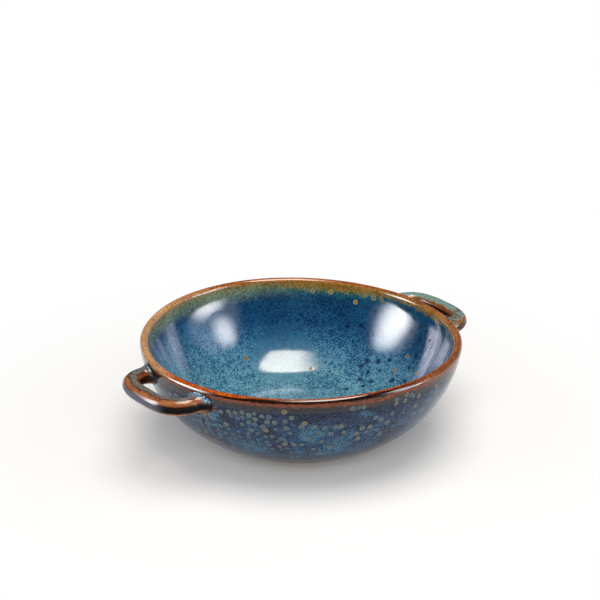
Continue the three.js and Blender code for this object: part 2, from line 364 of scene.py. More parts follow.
class NodePen:
    """Writes the node tree of a material or a lamp."""

    def __init__(self, tree: bpy.types.NodeTree) -> None:
        """Takes up a node tree.

        Args:
            tree: The node tree.
        """
        self.tree = tree
        coordinates = tree.nodes.new("ShaderNodeTexCoord")
        self.place = coordinates.outputs["Object"]
        self.face = coordinates.outputs["UV"]

    def feed(self, value: Value, socket: Socket) -> None:
        """Links a socket into another, or sets a plain value on it.

        Args:
            value: The socket or the plain value.
            socket: The socket that takes it.
        """
        if isinstance(value, bpy.types.NodeSocket):
            self.tree.links.new(value, socket)
        elif isinstance(value, tuple) and len(socket.default_value) > len(value):
            socket.default_value = (*value, 1.0)
        else:
            socket.default_value = value

    def add(self, kind: str, out: int | str, inputs: dict[int | str, Value], **options: str) -> Socket:
        """Adds a node.

        Args:
            kind: Type of the node.
            out: The output to return.
            inputs: What goes into its inputs.
            **options: Its other settings.

        Returns:
            The output.
        """
        node = self.tree.nodes.new("ShaderNode" + kind)
        for key, option in options.items():
            setattr(node, key, option)
        for key, value in inputs.items():
            self.feed(value, node.inputs[key])
        return node.outputs[out]

    def attribute(self, name: str) -> Socket:
        """Returns the numbers that a mesh carries under a name."""
        return self.add("Attribute", "Fac", {}, attribute_name=name)

    def toward(self, direction: Tint) -> Socket:
        """Returns how far a place on the dish lies in a direction, in metres from the middle."""
        return self.add("VectorMath", "Value", {0: self.place, 1: direction}, operation="DOT_PRODUCT")

    def beside(self, spot: Tint, mirrored: bool = False) -> Socket:
        """Returns how far off a spot lies, in metres, or the nearest of its mirror images on the dish."""
        here = self.add("VectorMath", 0, {0: self.place}, operation="ABSOLUTE") if mirrored else self.place
        return self.add("VectorMath", "Value", {0: here, 1: spot}, operation="DISTANCE")

    def noise(self, size: float, detail: float = 2.0, rough: float = 0.5, twist: float = 0.0,
              place: Socket | None = None) -> Socket:
        """Makes a cloudy pattern.

        Args:
            size: Width of a cloud, in millimetres.
            detail: Number of finer layers.
            rough: Strength of the finer layers.
            twist: How far the pattern swirls.
            place: Where to read it, if not at the plain place on the dish.

        Returns:
            The pattern, about 0.2 to 0.8.
        """
        inputs = {"Vector": place or self.place, "Scale": 1 / (size * MM)}
        inputs |= {"Detail": detail, "Roughness": rough, "Distortion": twist}
        return self.add("TexNoise", "Fac", inputs)

    def fibres(self, size: float, length: float, degree: float = 1.57) -> Socket:
        """Makes fine lines that run down the wall.

        Args:
            size: Width of a line, in millimetres.
            length: How many times longer than wide it is.
            degree: Length of a degree round the lip, in millimetres.

        Returns:
            The pattern, about 0.2 to 0.8.
        """
        around = self.times(self.attribute(TURN), degree * MM)
        down = self.times(self.attribute(RUN), MM / length)
        return self.noise(size, 2, place=self.add("CombineXYZ", 0, {0: around, 1: down}))

    def cells(self, size: float) -> Socket:
        """Returns the distance to the nearest of many scattered points, a cell of this size apart."""
        return self.add("TexVoronoi", "Distance", {"Vector": self.place, "Scale": 1 / (size * MM)})

    def reckon(self, way: Maths, first: Number, second: Number = 0.0) -> Socket:
        """Returns two numbers put together."""
        return self.add("Math", 0, {0: first, 1: second}, operation=way.value)

    def plus(self, *numbers: Number) -> Socket:
        """Returns the sum of some numbers."""
        return reduce(lambda total, number: self.reckon(Maths.PLUS, total, number), numbers)

    def times(self, *numbers: Number) -> Socket:
        """Returns the product of some numbers."""
        return reduce(lambda total, number: self.reckon(Maths.TIMES, total, number), numbers)

    def unsigned(self, number: Number) -> Socket:
        """Returns a number without its sign."""
        return self.reckon(Maths.UNSIGNED, number)

    def spread(self, value: Socket, low: float, high: float, least: float = 0.0, most: float = 1.0) -> Socket:
        """Stretches a number from low to high over least to most, smoothly, and holds it there."""
        inputs = {"Value": value, "From Min": low, "From Max": high, "To Min": least, "To Max": most}
        return self.add("MapRange", "Result", inputs, interpolation_type="SMOOTHSTEP")

    def even(self, pattern: Socket, least: float, most: float) -> Socket:
        """Stretches the usual range of a cloudy pattern over least to most."""
        return self.spread(pattern, 0.3, 0.7, least, most)

    def ramp(self, value: Socket, stops: Sequence[tuple], column: int = 1) -> Socket:
        """Colours a number by stops.

        Args:
            value: The number.
            stops: Rows of a number and its colours, in order.
            column: Which of the colours to take.

        Returns:
            The colour.
        """
        low, high = stops[0][0], stops[-1][0]
        node = self.tree.nodes.new("ShaderNodeValToRGB")
        scaled = self.add("MapRange", "Result", {"Value": value, "From Min": low, "From Max": high})
        self.feed(scaled, node.inputs["Fac"])
        marks = node.color_ramp.elements
        while len(marks) < len(stops):
            marks.new(0.5)
        for mark, stop in zip(marks, stops):
            mark.position = (stop[0] - low) / (high - low)
            mark.color = (*stop[column], 1.0)
        return node.outputs["Color"]

    def mix(self, share: Number, first: Socket | Tint, second: Socket | Tint) -> Socket:
        """Returns two colours mixed, by the share of the second."""
        return self.add("Mix", 2, {0: share, 6: first, 7: second}, data_type="RGBA")


class MaterialPen(NodePen):
    """Writes the node tree of a new material."""

    def __init__(self, name: str) -> None:
        """Starts the material.

        Args:
            name: Its name.
        """
        self.finished = bpy.data.materials.new(name)
        self.finished.use_nodes = True
        self.finished.node_tree.nodes.clear()
        super().__init__(self.finished.node_tree)
        self.surface = self.tree.nodes.new("ShaderNodeOutputMaterial").inputs["Surface"]

    def fired(self, colour: Socket, shine: Socket, grain: Socket, depth: float, strength: float,
              ior: float = 1.5) -> bpy.types.Material:
        """Gives the material its surface.

        Args:
            colour: Its colour.
            shine: Its roughness.
            grain: Its fine relief, 0 to 1.
            depth: Depth of the relief, in millimetres.
            strength: How much of the relief shows.
            ior: How strongly it mirrors.

        Returns:
            The finished material.
        """
        relief = {"Height": grain, "Distance": depth * MM, "Strength": strength}
        inputs = {"Base Color": colour, "Roughness": shine, "IOR": ior, "Normal": self.add("Bump", 0, relief)}
        self.feed(self.add("BsdfPrincipled", "BSDF", inputs), self.surface)
        return self.finished


# Millimetres down from the crest, the dark glass there and the light flecks in it.
INSIDE_STOPS = (
    (0.0, tint(108, 48, 18), tint(170, 92, 42)),
    (1.8, tint(114, 56, 20), tint(168, 102, 44)),
    (3.2, tint(118, 78, 28), tint(164, 120, 54)),
    (5.0, tint(108, 90, 38), tint(152, 126, 66)),
    (6.6, tint(66, 86, 58), tint(116, 128, 88)),
    (8.2, tint(10, 68, 84), tint(46, 108, 118)),
    (10.5, tint(4, 44, 78), tint(22, 78, 114)),
    (26.0, tint(2, 42, 80), tint(24, 78, 118)),
    (36.0, tint(14, 58, 98), tint(56, 112, 148)),
    (46.0, tint(28, 76, 112), tint(90, 142, 172)),
    (62.0, tint(34, 82, 116), tint(104, 159, 177)),
    (110.0, tint(38, 86, 118), tint(112, 167, 180)),
)
# On the outside, the near-black stops from 1.3 to 3.0 mm are a painted dark reflection over the dark rust of
# the glaze under the lip.
OUTSIDE_STOPS = (
    (0.0, tint(106, 42, 12), tint(182, 92, 36)),
    (0.7, tint(92, 34, 8), tint(158, 70, 24)),
    (1.3, tint(18, 6, 2), tint(50, 18, 8)),
    (3.0, tint(16, 6, 2), tint(42, 17, 8)),
    (3.7, tint(92, 36, 8), tint(132, 62, 26)),
    (5.2, tint(76, 34, 14), tint(114, 60, 34)),
    (6.2, tint(30, 22, 20), tint(54, 41, 36)),
    (7.8, tint(16, 16, 22), tint(42, 40, 46)),
    (10.5, tint(11, 17, 38), tint(48, 62, 90)),
    (26.0, tint(9, 20, 48), tint(52, 86, 120)),
    (42.0, tint(8, 24, 52), tint(54, 98, 136)),
    # From 54 mm down to the foot the stops go near black: a painted dark reflection of the shaded floor.
    (54.0, tint(3, 8, 18), tint(26, 52, 78)),
    (66.0, tint(1, 2, 4), tint(6, 10, 16)),
)
# Tone of a bead, its middle and its ring.
BEAD_STOPS = (
    (0.0, tint(8, 24, 60), tint(12, 34, 74)),
    (0.25, tint(36, 48, 74), tint(70, 98, 126)),
    (0.5, tint(84, 68, 54), tint(78, 104, 120)),
    (0.75, tint(104, 70, 42), tint(94, 114, 114)),
    (1.0, tint(130, 76, 36), tint(114, 122, 102)),
    (1.3, tint(138, 82, 40), tint(168, 156, 108)),
)


@dataclass(frozen=True)
class PaintedReflectionStreak:
    """A pale painted reflection streak on the inside of the bowl."""

    turn: float
    lean: float
    width: float
    start: float
    end: float
    strength: float

    def share(self, turn: np.ndarray, run: float) -> np.ndarray:
        """Finds how strongly the painted reflection streak shows.

        Args:
            turn: Degrees about the axis, 0 to 360.
            run: Millimetres down the inside from the crest of the lip.

        Returns:
            The share of the painted reflection at each turn, 0 to 1.
        """
        middle = self.turn + self.lean * (run - self.start)
        off = np.abs((turn - middle + 180) % 360 - 180)
        across = np.clip((self.width - off) / (0.6 * self.width), 0, 1)
        rise = np.clip((run - self.start) / 3, 0, 1)
        fall = np.clip((self.end - run) / (0.5 * (self.end - self.start)), 0, 1)
        return self.strength * across**2 * (3 - 2 * across) * rise * fall


# Painted reflections: pale streaks on the two side walls, and a crescent on the floor.
PAINTED_REFLECTION_STREAKS = (
    PaintedReflectionStreak(-13.5, -0.28, 5.2, 9.0, 46.0, 1.0),
    PaintedReflectionStreak(-29.5, 0.0, 6.4, 8.0, 36.0, 0.9),
    PaintedReflectionStreak(116.5, 0.14, 5.0, 9.0, 44.0, 0.4),
    PaintedReflectionStreak(130.0, 0.0, 3.2, 10.0, 36.0, 0.34),
    PaintedReflectionStreak(138.5, -0.3, 2.4, 9.0, 26.0, 0.26),
    PaintedReflectionStreak(80.0, -1.5, 32.0, 73.0, 83.0, 0.75),
)


class GlazePen(MaterialPen):
    """Paints the blue glaze that breaks to brown over the lip, with flecks all through it."""

    fleck_size: float = 0.75

    def __init__(self, name: str) -> None:
        """Starts a material with the flow and the flecks of the glaze.

        Args:
            name: Its name.
        """
        super().__init__(name)
        self.run = self.attribute(RUN)
        self.aside = self.toward(RIGHT)
        drift = self.spread(self.noise(3.5, 3, 0.65, 0.3), 0.25, 0.75, -1.1, 1.1)
        slow = self.even(self.noise(46, 1), -0.9, 0.9)
        sway = self.times(self.plus(drift, slow), self.spread(self.unsigned(self.run), 0.8, 6.5))
        self.down_inside = self.plus(self.times(self.run, -1.0), sway)
        self.down_outside = self.plus(self.run, sway)
        fine = self.noise(self.fleck_size, 1)
        coarse = self.noise(self.fleck_size * 3, 2, 0.6, 0.3)
        self.flecks = self.plus(self.times(fine, 0.66), self.times(coarse, 0.34))
        self.phase = self.fleck_phase()

    def fleck_phase(self) -> Socket:
        """Tells the flecks from the dark glass; they are livelier on the right and down the inside.

        Returns:
            About 0 on the dark glass between the flecks, about 1 on a fleck.
        """
        lean = self.spread(self.noise(14, 3, 0.6, 0.6), 0.36, 0.64, -0.03, 0.03)
        phase = self.spread(self.plus(self.flecks, lean), 0.37, 0.63)
        lively = self.spread(self.aside, -0.03, 0.03, 1.05, 1.5)
        lively = self.times(lively, self.spread(self.run, -24, -42, 1, 1.35))
        calm = self.times(self.spread(self.beside(CALM), 0.026, 0.014, 1, 0.25), lively)
        return self.plus(self.times(self.plus(phase, -0.5), calm), 0.5)

    def flecked(self, dark: Socket | Tint, light: Socket | Tint) -> Socket:
        """Returns a colour that is dark on the glass and light on the flecks."""
        return self.mix(self.phase, dark, light)

    def graded(self, run: Socket, stops: Sequence[tuple[float, Tint, Tint]]) -> Socket:
        """Returns a flecked colour that changes down the wall."""
        return self.flecked(self.ramp(run, stops, 1), self.ramp(run, stops, 2))

    def between(self, run: Socket, start: Span, end: Span) -> Socket:
        """Returns 1 on a band down the wall that comes in over start and goes out over end."""
        return self.times(self.spread(run, *start), self.spread(run, *end))

    def coat(self) -> Socket:
        """Returns the colour of the glaze at any place on the bowl."""
        base = self.mix(self.spread(self.run, -0.4, 0.4), self.inside(), self.outside())
        return self.lip(base)

    def lip(self, base: Socket) -> Socket:
        """Adds the tan of the lip on the two sides, and its orange along the front.

        Args:
            base: Colour of the coat.

        Returns:
            The colour.
        """
        left = self.spread(self.aside, -0.045, -0.08, 0, 0.9)
        sides = self.plus(left, self.spread(self.aside, 0.06, 0.09, 0, 0.12))
        tan = self.times(sides, self.spread(self.unsigned(self.run), 5, 2))
        base = self.mix(tan, base, self.flecked(tint(156, 110, 72), tint(212, 168, 124)))
        below = self.plus(self.run, self.spread(self.aside, -0.01, -0.04, -0.4, -2.0))
        edge = self.times(self.spread(self.run, -3.2, -1.8), self.spread(below, 0.4, -0.3))
        front = self.times(edge, self.spread(self.toward(FRONT), 0.04, 0.062))
        front = self.times(front, self.spread(self.aside, 0.06, 0.02, 0.3, 1))
        return self.mix(front, base, self.flecked(tint(136, 48, 5), tint(214, 104, 28)))

    def inside(self) -> Socket:
        """Writes the colour of the inside: a rusty lip, an amber band, navy and then blue towards the floor,
        with painted reflection streaks on the walls and the floor.

        Returns:
            The colour.
        """
        run = self.down_inside
        flow = self.times(self.spread(self.toward(THIN_SIDE), 0.02, 0.08, 0, 18), self.spread(run, 9, 18))
        short = self.times(self.spread(self.aside, 0.025, 0.07, 0, 3.2), self.spread(run, 1.6, 3.6))
        blue = self.graded(self.plus(run, self.plus(flow, short)), INSIDE_STOPS)
        band = self.between(run, (2, 5), (15, 8))
        green = self.times(self.spread(self.toward(GREEN_SIDE), 0.005, 0.075), band, 0.72)
        blue = self.mix(green, blue, self.flecked(tint(84, 98, 80), tint(144, 156, 130)))
        edge = self.between(run, (1, 2), (6.2, 4.8))
        amber = self.times(self.spread(self.aside, -0.01, 0.05, 0, 0.8), edge)
        blue = self.mix(amber, blue, self.flecked(tint(120, 82, 32), tint(164, 122, 58)))
        # Painted reflection streaks: pale lilac on the walls, pale blue on the floor.
        lines = self.spread(self.fibres(1.1, 14), 0.32, 0.6, 0.35, 1)
        low = self.spread(run, 52, 66)
        dark = self.mix(low, tint(172, 178, 212), tint(146, 182, 206))
        light = self.mix(low, tint(210, 214, 234), tint(176, 206, 222))
        return self.mix(self.times(self.attribute(REFLECTION_STREAK), lines), blue, self.flecked(dark, light))

    def outside(self) -> Socket:
        """Writes the colour of the outside: a rusty lip, a painted dark reflection under it along the front,
        a brown band, slate blue with plum and teal pools, and a painted dark reflection that goes near black
        towards the foot.

        Returns:
            The colour.
        """
        run = self.down_outside
        slate = self.graded(run, OUTSIDE_STOPS)
        # Away from the front, the painted dark reflection under the lip gives way to brown.
        aside = self.spread(self.toward(FRONT), 0.076, 0.056)
        line = self.times(aside, self.between(run, (0.5, 1.3), (4.6, 3.4)))
        slate = self.mix(line, slate, self.flecked(tint(96, 48, 24), tint(142, 84, 50)))
        below = self.spread(run, 8, 14)
        pools = self.noise(24, 3, 0.55, 0.6)
        left = self.spread(self.aside, -0.01, -0.06, 0, 0.16)
        plum = self.times(self.spread(self.plus(pools, left), 0.5, 0.62), below, 0.75)
        slate = self.mix(plum, slate, self.flecked(tint(18, 14, 32), tint(46, 46, 74)))
        clear = self.spread(self.aside, -0.055, -0.015, 0, 0.5)
        teal = self.times(self.spread(pools, 0.44, 0.34), below, clear)
        slate = self.mix(teal, slate, self.flecked(tint(20, 58, 88), tint(80, 136, 158)))
        cloud = self.noise(4.5, 3, 0.6, 0.5)
        ragged = self.plus(self.even(cloud, -0.004, 0.004), self.beside(LEG_ROOT, True))
        drips = self.times(self.spread(ragged, 0.0118, 0.0085), self.spread(run, 7, 9), 0.85)
        blue = self.flecked(tint(24, 66, 98), tint(92, 148, 168))
        return self.mix(drips, slate, self.mix(self.spread(cloud, 0.53, 0.58), blue, tint(132, 82, 44)))

    def beads(self) -> Socket:
        """Writes the colour of the beads: rusty in the middle, pale round the edge.

        Returns:
            The colour, which goes over into the coat's at the edge of a bead.
        """
        ring, tone = self.attribute(RING), self.attribute(TONE)
        rusty, pale = self.ramp(tone, BEAD_STOPS, 1), self.ramp(tone, BEAD_STOPS, 2)
        middle = self.mix(self.spread(ring, 0.24, 0.48), rusty, pale)
        faint = self.times(self.spread(tone, 0.12, 0.06), self.spread(ring, 0.1, 0.95, 0.12, 1))
        return self.mix(self.reckon(Maths.GREATER, self.spread(ring, 0.6, 0.95), faint), middle, self.coat())

    def glossy(self, colour: Socket, roughness: Span, ior: float) -> bpy.types.Material:
        """Returns the finished material, with the shine of the fired coat and the relief of its flecks."""
        return self.fired(colour, self.even(self.noise(5, 2), *roughness), self.flecks, 0.04, 0.08, ior)


@dataclass(frozen=True)
class ReactiveGlaze:
    """A glossy blue glaze that breaks to brown over the lip."""

    name: str
    slot: str
    ior: float
    roughness: Span = (0.06, 0.13)

    def material(self) -> bpy.types.Material:
        """Returns the finished material of a plain coat."""
        pen = GlazePen(self.name)
        return pen.glossy(pen.coat(), self.roughness, self.ior)

    def bead_material(self) -> bpy.types.Material:
        """Returns the finished material of the beads in the glaze."""
        pen = GlazePen(self.name + "_beads")
        return pen.glossy(pen.beads(), self.roughness, self.ior)


INSIDE_GLAZE = ReactiveGlaze("blue_glaze_inside", "inside_glaze", 1.5)
FLOOR_GLAZE = ReactiveGlaze("blue_glaze_floor", "inside_glaze", 1.16, (0.2, 0.3))
OUTSIDE_GLAZE = ReactiveGlaze("slate_glaze_outside", "outside_glaze", 1.3)
BASE_GLAZE = ReactiveGlaze("slate_glaze_base", "outside_glaze", 1.3)
LIP_GLAZE = ReactiveGlaze("brown_glaze_lip", "rim_glaze", 1.48)


@dataclass(frozen=True)
class HandleGlaze:
    """Iron-brown glaze on a handle: a mottled streak on top, a painted dark reflection on the outer side,
    painted shade under the inner side and round the roots, and pools at the roots.
    """

    name: str
    slot: str = "handle_glaze"
    ior: float = 1.38
    roughness: Span = (0.05, 0.12)
    ragged: float = 1.0
    blotch: float = 0.0
    streak_middle: float = -0.12
    streak_width: float = 0.46
    streak_fade: float = 0.16
    streak: tuple[Tint, Tint, Tint] = (tint(52, 46, 44), tint(100, 108, 110), tint(150, 120, 84))
    copper: Tint = tint(146, 86, 56)
    amber: Tint = tint(162, 106, 66)
    rust: Tint = tint(122, 64, 30)
    # shade is painted shade; flank colours the lower outer side, where the near-black default is a painted
    # dark reflection; the lilac colour below it is a painted reflection.
    shade: Tint = tint(6, 4, 5)
    flank: Tint = tint(6, 4, 5)
    painted_reflection: Tint = tint(92, 92, 110)
    outline: Tint = tint(36, 22, 16)

    def material(self) -> bpy.types.Material:
        """Writes the material.

        Returns:
            The finished material.
        """
        pen = MaterialPen(self.name)
        grain = pen.noise(0.9, 2)
        cloud = pen.noise(4.5, 3, 0.6, 0.5)
        colour = self.roots(pen, self.grip(pen, grain, cloud), grain, cloud)
        return pen.fired(colour, pen.even(cloud, *self.roughness), grain, 0.05, 0.3, self.ior)

    def grip(self, pen: MaterialPen, grain: Socket, cloud: Socket) -> Socket:
        """Writes the colour round the grip.

        Args:
            pen: Writes the material.
            grain: Fine pattern.
            cloud: Broad pattern.

        Returns:
            The colour.
        """
        up = pen.attribute(UP_SIDE)
        ragged = pen.times(pen.plus(pen.even(cloud, -0.2, 0.2), pen.even(grain, -0.14, 0.14)), self.ragged)
        side = pen.plus(pen.attribute(OUT_SIDE), ragged)
        base = pen.mix(pen.spread(cloud, 0.35, 0.7), self.copper, self.amber)
        base = pen.mix(pen.spread(side, -0.5, -0.8), base, self.rust)
        # Painted shade in the gap under the inner side, along the lip.
        hidden = pen.times(pen.spread(side, -0.5, -0.75), pen.spread(up, 0.5, 0.3), 0.9)
        base = pen.mix(hidden, base, self.shade)
        # Painted dark reflection on the lower outer side, with a painted lilac reflection towards the left.
        flank = pen.times(pen.spread(side, 0.45, 0.8), pen.spread(up, 0.62, 0.25))
        painted_reflection = pen.times(pen.spread(pen.toward(RIGHT), -0.071, -0.08), pen.spread(up, 0.6, 0.1))
        base = pen.mix(flank, base, pen.mix(painted_reflection, self.flank, self.painted_reflection))
        under = pen.spread(pen.plus(up, pen.times(ragged, 0.5)), -0.42, -0.66)
        base = pen.mix(under, base, self.amber)
        across = pen.unsigned(pen.plus(side, -self.streak_middle))
        on_top = pen.spread(up, 0.3, 0.6)
        edge = pen.spread(pen.unsigned(pen.plus(across, -self.streak_width)), 0.2, 0.06)
        base = pen.mix(pen.times(edge, on_top, 0.8), base, self.outline)
        streak = pen.spread(across, self.streak_width, self.streak_width - self.streak_fade)
        return pen.mix(pen.times(streak, on_top), base, self.mottle(pen, grain, cloud))

    def mottle(self, pen: MaterialPen, grain: Socket, cloud: Socket) -> Socket:
        """Writes the colour of the streak on top, with its blotches over the leg in front.

        Args:
            pen: Writes the material.
            grain: Fine pattern.
            cloud: Broad pattern.

        Returns:
            The colour.
        """
        dark, middle, light = self.streak
        plain = pen.ramp(grain, ((0.34, dark), (0.44, middle), (0.56, middle), (0.64, light)))
        over_leg = pen.spread(pen.toward(NEAR_LEG), 0.008, 0.02)
        blotch = pen.times(pen.spread(cloud, 0.47, 0.53), over_leg, self.blotch)
        speckled = pen.mix(pen.spread(grain, 0.4, 0.6), tint(46, 40, 50), tint(140, 98, 70))
        return pen.mix(blotch, plain, speckled)

    def roots(self, pen: MaterialPen, base: Socket, grain: Socket, cloud: Socket) -> Socket:
        """Adds blue pools on top of the roots, and painted shade round their lower sides.

        Args:
            pen: Writes the material.
            base: Colour of the grip.
            grain: Fine pattern.
            cloud: Broad pattern.

        Returns:
            The colour.
        """
        root, up = pen.attribute(NEAR_ROOT), pen.attribute(UP_SIDE)
        # Painted shade round the lower sides of the roots, near the wall.
        dark = pen.times(pen.spread(root, 0.3, 0.95), pen.spread(up, 0.6, -0.1), 0.85)
        base = pen.mix(dark, base, tint(26, 16, 14))
        on_top = pen.times(pen.spread(root, 0.25, 0.75), pen.spread(up, 0.05, 0.5))
        pool = pen.times(on_top, pen.spread(cloud, 0.34, 0.5))
        blue = pen.mix(pen.spread(grain, 0.4, 0.62), tint(22, 60, 108), tint(138, 186, 208))
        return pen.mix(pool, base, blue)


@dataclass(frozen=True)
class BareClay:
    """Unglazed stoneware: buff, speckled with grog."""

    name: str
    slot: str
    buff: Tint = tint(190, 170, 142)
    toast: Tint = tint(160, 132, 100)
    grog: Tint = tint(92, 74, 58)

    def material(self) -> bpy.types.Material:
        """Writes the material.

        Returns:
            The finished material.
        """
        pen = MaterialPen(self.name)
        grain = pen.noise(0.7, 4, 0.7)
        base = pen.mix(pen.spread(pen.noise(14, 3), 0.35, 0.65), self.buff, self.toast)
        grog = pen.times(pen.spread(pen.cells(1.6), 0.16, 0.06), 0.6)
        return pen.fired(pen.mix(grog, base, self.grog), pen.even(grain, 0.72, 0.92), grain, 0.08, 0.6)


def dress(piece: bpy.types.Object, material: bpy.types.Material) -> None:
    """Gives a piece its material.

    Args:
        piece: The piece.
        material: The material.
    """
    piece.data.materials.clear()
    piece.data.materials.append(material)
    LOG.info("%s: %d corners, finish %s", piece.name, len(piece.data.vertices), material.name)


def dress_part(piece: bpy.types.Object, material: bpy.types.Material, key: str, limit: float) -> None:
    """Gives part of a piece a second material.

    Args:
        piece: The piece.
        material: The second material.
        key: Name of the numbers that tell the part.
        limit: The part takes in the faces whose numbers all lie below this.
    """
    mesh = piece.data
    mesh.materials.append(material)
    numbers = np.zeros(len(mesh.vertices), dtype=np.float32)
    mesh.attributes[key].data.foreach_get("value", numbers)
    for face in mesh.polygons:
        face.material_index = int(max(numbers[corner] for corner in face.vertices) < limit)
    LOG.info("%s: part in %s", piece.name, material.name)


@dataclass
class Bowl:
    """The bowl: its clay, its foot ring and its coats of glaze."""

    form: BowlForm
    coat: float = 0.6
    bond: float = 0.05
    foot_step: float = 0.4
    foot_width: float = 5.0
    foot_round: float = 0.5
    recess: float = 2.0
    recess_slope: float = 2.5
    recess_round: Span = (1.2, 0.25)
    foot_notch: Span = (0.15, 0.25)
    foot_steps: int = 5
    base_run: float = 40.0
    base_rings: int = 24
    base_inset: float = 0.4
    base_edge: Span = (0.1, 0.2)
    floor_run: float = 60.0

    @property
    def foot_outer(self) -> float:
        """Radius of the outer side of the foot ring."""
        return self.form.outline.moved(-self.coat - self.bond)[0][0] - self.foot_step

    @property
    def recess_edge(self) -> float:
        """Radius of the flat ceiling of the hollow inside the foot ring."""
        return self.foot_outer - self.foot_width - self.recess_slope

    def turned(self, name: str, profile: np.ndarray, runs: np.ndarray) -> bpy.types.Object:
        """Turns a closed profile about the axis.

        Args:
            name: Name of the piece.
            profile: Radius and height of each station, the last joined to the first.
            runs: Distance of each station from the crest of the lip.

        Returns:
            The piece.
        """
        steps = self.form.turn_steps
        turns = np.arange(steps) * 2 * math.pi / steps
        points, rows = [], []
        values = {RUN: [], TURN: [], REFLECTION_STREAK: []}
        for (radius, height), run in zip(profile, runs):
            on_axis = radius < ON_AXIS
            around = turns[:1] if on_axis else turns
            degrees = np.degrees(around)
            first = len(points)
            points.extend(self.form.bent(np.full(len(around), radius), np.full(len(around), height), around))
            rows.append([first] * steps if on_axis else list(range(first, first + steps)))
            values[RUN].extend([run] * len(around))
            values[TURN].extend(degrees)
            # Share of the painted reflection streaks at each corner.
            values[REFLECTION_STREAK].extend(np.minimum(1, sum(streak.share(degrees, -run) for streak in PAINTED_REFLECTION_STREAKS)))
        return make_piece(name, np.array(points), grid_faces(rows, closed=True), values)

    def coat_over(self, name: str, part: Outline) -> bpy.types.Object:
        """Returns a coat of glaze over a stretch of the outline."""
        profile = np.concatenate([part.moved(self.form.pooled(part.run)), part.moved(-self.coat)[::-1]])
        return self.turned(name, profile, np.concatenate([part.run, part.run[::-1]]))

    def clay(self) -> bpy.types.Object:
        """Builds the clay of the bowl with its foot ring and the hollow under it.

        Returns:
            The piece.
        """
        outline = self.form.outline
        shell = outline.moved(-self.coat - self.bond)
        outer, edge, top = self.foot_outer, self.foot_round, self.form.foot_height
        inner = outer - self.foot_width
        ceiling = self.recess + self.coat + self.bond
        turns = np.linspace(0, math.pi / 2, self.foot_steps)
        back, down = self.recess_round
        notch_out, notch_down = self.foot_notch
        foot = [(0, ceiling), (self.recess_edge - back, ceiling), (self.recess_edge, ceiling - down)]
        foot += [(inner + edge - edge * math.cos(a), edge - edge * math.sin(a)) for a in turns]
        foot += [(outer - edge + edge * math.sin(a), edge - edge * math.cos(a)) for a in turns]
        foot += [(outer, top - notch_down), (outer + notch_out, top)]
        runs = np.concatenate([np.full(len(foot), outline.run[0]), outline.run])
        return self.turned("bowl_clay", np.concatenate([np.array(foot), shell]), runs)

    def base_coat(self) -> bpy.types.Object:
        """Builds the coat of glaze under the floor, inside the foot ring.

        Returns:
            The piece.
        """
        rings = np.linspace(0, self.recess_edge - self.base_inset, self.base_rings)
        lower = [(radius, self.recess) for radius in rings]
        upper = [(radius, self.recess + self.coat) for radius in rings[::-1]]
        inward, upward = self.base_edge
        profile = np.array(lower + [(self.recess_edge - inward, self.recess + upward)] + upper)
        return self.turned("base_coat", profile, np.full(len(profile), self.base_run))

    def build(self) -> None:
        """Builds and dresses the bowl."""
        outside_end, lip_end, inside_end = self.form.marks
        outline = self.form.outline
        clay = self.clay()
        outside = self.coat_over("outside_coat", outline.part(0, outside_end))
        lip = self.coat_over("lip_coat", outline.part(outside_end, lip_end))
        inside = self.coat_over("inside_coat", outline.part(lip_end, inside_end))
        pieces = (
            (clay, "bowl_body", BareClay("bare_stoneware", "bare_clay")),
            (outside, "outside_glaze", OUTSIDE_GLAZE),
            (lip, "rim_glaze", LIP_GLAZE),
            (inside, "inside_glaze", INSIDE_GLAZE),
            (self.base_coat(), "base_glaze", BASE_GLAZE),
        )
        for piece, node, finish in pieces:
            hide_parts(node)
            dress(piece, finish.material())
        dress_part(inside, FLOOR_GLAZE.material(), RUN, -self.floor_run)


